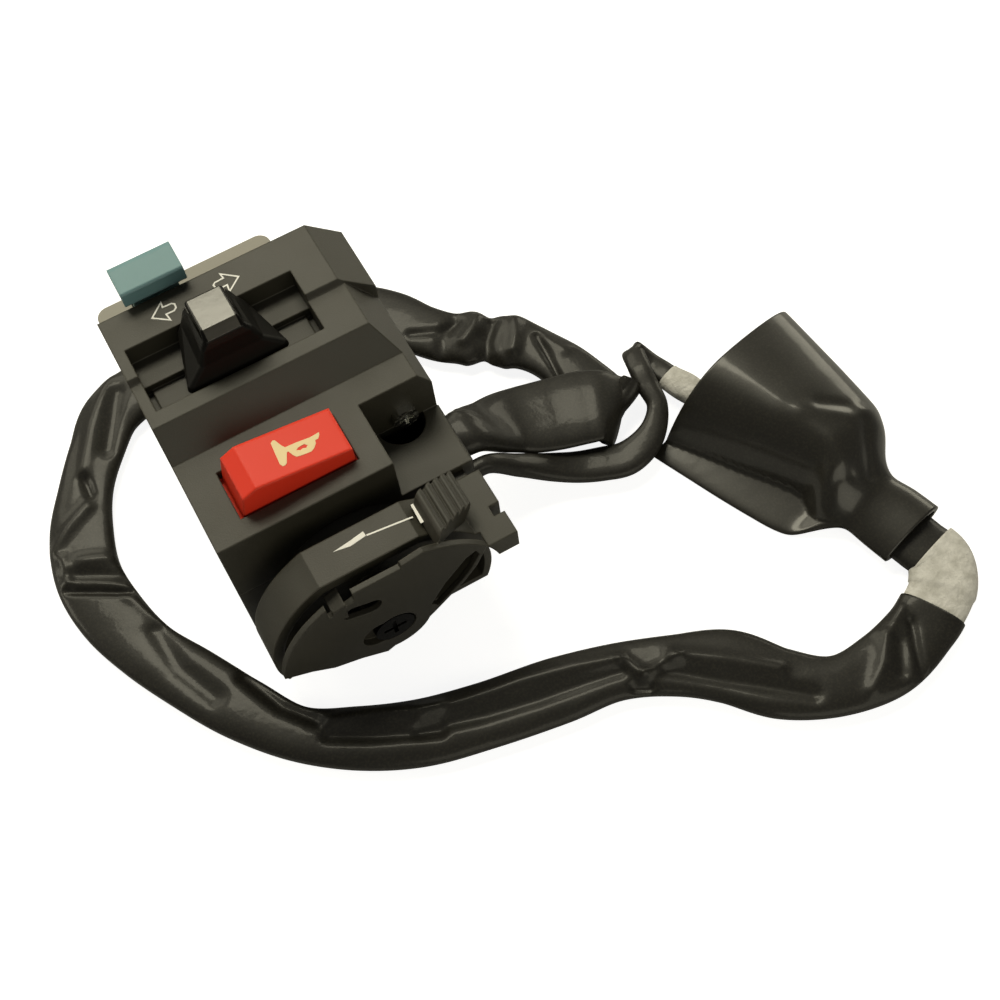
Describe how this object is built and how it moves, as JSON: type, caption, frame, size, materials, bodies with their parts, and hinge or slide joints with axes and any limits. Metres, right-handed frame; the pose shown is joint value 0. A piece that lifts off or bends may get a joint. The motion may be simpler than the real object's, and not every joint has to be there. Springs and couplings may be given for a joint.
{
  "type": "handlebar switch cluster",
  "caption": "Left handlebar switch housing that clamps the bar, with a turn slider, horn button, pass lever and choke lever, and a sleeved harness ending in a connector boot.",
  "frame": {"origin": "centre of the bar clamp's bore, midway along the housing", "axes": "+X along the handlebar towards the harness exit, +Y up the face towards the pass lever, +Z out of the face towards the rider"},
  "size_m": [0.172, 0.1556, 0.055],
  "materials": {
    "housing_plastic": "fine grain, warm black",
    "knob_plastic": "glossy black",
    "lever_plastic": "fine grain, warm black",
    "red_plastic": "satin red",
    "teal_plastic": "satin grey-teal",
    "grey_plastic": "matte light grey",
    "board": "pressed phenolic board",
    "carrier_plastic": "natural nylon",
    "contact_brass": "stamped",
    "steel": "zinc plated",
    "grommet_rubber": "matte black",
    "sleeve_pvc": "soft black PVC, creased",
    "boot_pvc": "soft glossy black PVC",
    "tape_cloth": "pale cloth tape",
    "connector_nylon": "natural nylon"
  },
  "bodies": {
    "housing": {"front_housing": "housing_plastic", "rear_housing": "housing_plastic", "choke_drum": "housing_plastic", "housing_screws": "steel", "lock_screw": "steel", "turn_base": "board", "turn_contacts": "contact_brass", "horn_base": "board", "horn_contacts": "contact_brass", "horn_spring": "steel", "pass_block": "grey_plastic", "pass_pin": "steel", "pass_spring": "steel", "pass_contacts": "contact_brass", "choke_pivot_screw": "steel", "choke_washer": "steel", "harness_grommet": "grommet_rubber", "main_sleeve": "sleeve_pvc", "main_tape": "tape_cloth", "tail_sleeve": "sleeve_pvc", "branch_sleeve": "sleeve_pvc", "branch_tape": "tape_cloth", "connector_boot": "boot_pvc", "main_connector": "connector_nylon", "main_terminals": "contact_brass", "branch_connector": "connector_nylon", "branch_terminals": "contact_brass"},
    "turn_slider": {"turn_carrier": "carrier_plastic", "turn_wiper": "contact_brass", "detent_ball": "steel", "detent_spring": "steel", "cancel_spring": "steel"},
    "turn_knob": {"turn_knob": "knob_plastic"},
    "horn": {"horn_button": "red_plastic", "horn_bridge": "contact_brass"},
    "pass": {"pass_lever": "teal_plastic"},
    "choke": {"choke_lever": "lever_plastic"}
  },
  "joints": [
    {"name": "turn_slide", "type": "slide", "parent": "housing", "child": "turn_slider", "axis": [1, 0, 0], "range_m": [-0.005, 0.005]},
    {"name": "knob_push", "type": "slide", "parent": "turn_slider", "child": "turn_knob", "axis": [0, 0, -1], "range_m": [0, 0.0012], "stiffness_N_per_m": 2000, "springref_m": -0.001, "deforming": ["cancel_spring"]},
    {"name": "horn_press", "type": "slide", "parent": "housing", "child": "horn", "axis": [0, 0, -1], "range_m": [0, 0.002], "stiffness_N_per_m": 1500, "springref_m": -0.002, "deforming": ["horn_spring"]},
    {"name": "pass_pull", "type": "hinge", "parent": "housing", "child": "pass", "pos_m": [-0.0135, 0.0225, 0.009], "axis": [1, 0, 0], "range_deg": [0, 6], "stiffness_Nm_per_rad": 0.4, "springref_deg": -4.58, "deforming": ["pass_spring"]},
    {"name": "choke_turn", "type": "hinge", "parent": "housing", "child": "choke", "pos_m": [-0.0023, -0.0557, -0.006], "axis": [0, -1, 0], "range_deg": [0, 40]}
  ]
}
